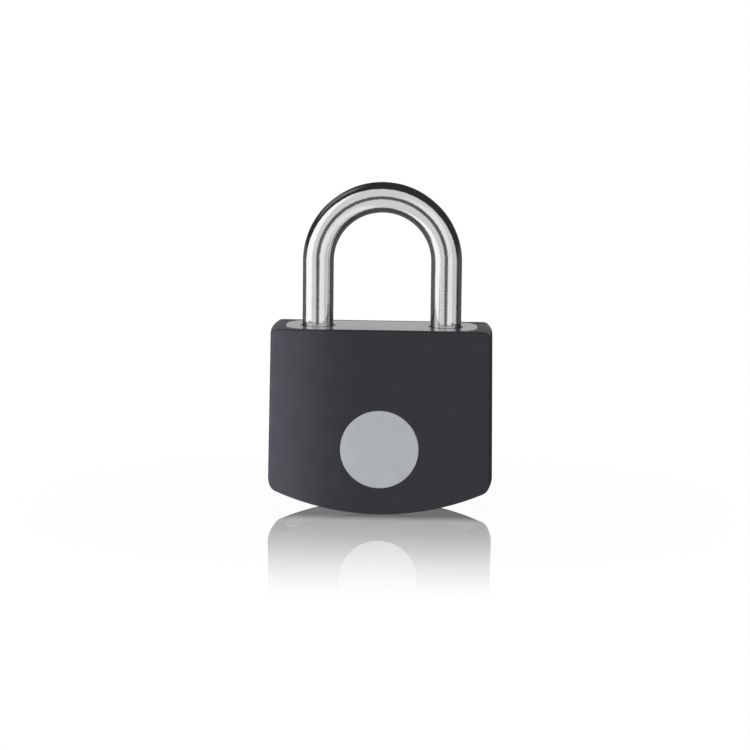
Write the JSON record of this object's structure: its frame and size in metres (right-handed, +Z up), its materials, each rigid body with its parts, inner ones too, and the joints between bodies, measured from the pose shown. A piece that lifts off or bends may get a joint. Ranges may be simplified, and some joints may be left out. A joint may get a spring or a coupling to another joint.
{
  "type": "padlock",
  "caption": "Small padlock with a dark plastic covered body, a round blank badge, a bright round-bar shackle and a pin tumbler lock in its base.",
  "frame": {"origin": "bottom centre of the body, at the lowest line of its curved base", "axes": "+Z up through the shackle, +X across the body towards the toe leg, -Y out of the front with the badge"},
  "size_m": [0.0438, 0.0152, 0.0641],
  "materials": {
    "cover": "fine matte grain, charcoal",
    "core": "satin, faint brushed lines across the top",
    "badge": "satin, blank",
    "shackle": "bright polished plating",
    "plug": "turned brass",
    "brass": "plain drawn brass",
    "steel": "plain steel"
  },
  "bodies": {
    "lock_body": {"cover": "cover", "body_core": "core", "front_badge": "badge", "shackle_spring": "steel", "shackle_retaining_pin": "steel", "bolt_spring": "steel", "bolt_bore_plug": "brass", "plug_retaining_pin": "steel", "pin_spring_1": "steel", "pin_spring_2": "steel", "pin_spring_3": "steel", "pin_spring_4": "steel", "chamber_plug_1": "brass", "chamber_plug_2": "brass", "chamber_plug_3": "brass", "chamber_plug_4": "brass"},
    "shackle": {"shackle": "shackle"},
    "plug": {"cylinder_plug": "plug", "cam": "steel"},
    "locking_bolt": {"locking_bolt": "steel"},
    "driver_pin_1": {"driver_pin_1": "steel"},
    "driver_pin_2": {"driver_pin_2": "steel"},
    "driver_pin_3": {"driver_pin_3": "steel"},
    "driver_pin_4": {"driver_pin_4": "steel"},
    "key_pin_1": {"key_pin_1": "brass"},
    "key_pin_2": {"key_pin_2": "brass"},
    "key_pin_3": {"key_pin_3": "brass"},
    "key_pin_4": {"key_pin_4": "brass"}
  },
  "joints": [
    {"name": "shackle_lift", "type": "slide", "parent": "lock_body", "child": "shackle", "axis": [0, 0, 1], "range_m": [0, 0.011], "deforming": ["shackle_spring"]},
    {"name": "plug_turn", "type": "hinge", "parent": "lock_body", "child": "plug", "pos_m": [0, 0, 0.0126], "axis": [0, 0, -1], "range_deg": [0, 90]},
    {"name": "bolt_slide", "type": "slide", "parent": "lock_body", "child": "locking_bolt", "axis": [1, 0, 0], "range_m": [0, 0.00226], "deforming": ["bolt_spring"]},
    {"name": "driver_pin_1_slide", "type": "slide", "parent": "lock_body", "child": "driver_pin_1", "axis": [1, 0, 0], "range_m": [0, 0.0012], "stiffness_N_per_m": 200, "deforming": ["pin_spring_1"]},
    {"name": "driver_pin_2_slide", "type": "slide", "parent": "lock_body", "child": "driver_pin_2", "axis": [1, 0, 0], "range_m": [0, 0.0012], "stiffness_N_per_m": 200, "deforming": ["pin_spring_2"]},
    {"name": "driver_pin_3_slide", "type": "slide", "parent": "lock_body", "child": "driver_pin_3", "axis": [1, 0, 0], "range_m": [0, 0.0012], "stiffness_N_per_m": 200, "deforming": ["pin_spring_3"]},
    {"name": "driver_pin_4_slide", "type": "slide", "parent": "lock_body", "child": "driver_pin_4", "axis": [1, 0, 0], "range_m": [0, 0.0012], "stiffness_N_per_m": 200, "deforming": ["pin_spring_4"]},
    {"name": "key_pin_1_slide", "type": "slide", "parent": "plug", "child": "key_pin_1", "axis": [0, -1, 0], "range_m": [0, 0.00145]},
    {"name": "key_pin_2_slide", "type": "slide", "parent": "plug", "child": "key_pin_2", "axis": [0, -1, 0], "range_m": [0, 0.00085]},
    {"name": "key_pin_3_slide", "type": "slide", "parent": "plug", "child": "key_pin_3", "axis": [0, -1, 0], "range_m": [0, 0.00175]},
    {"name": "key_pin_4_slide", "type": "slide", "parent": "plug", "child": "key_pin_4", "axis": [0, -1, 0], "range_m": [0, 0.00115]}
  ],
  "couplings": [
    {"joint": "plug_turn", "follows": "bolt_slide", "rad_per_m": 694.2}
  ]
}
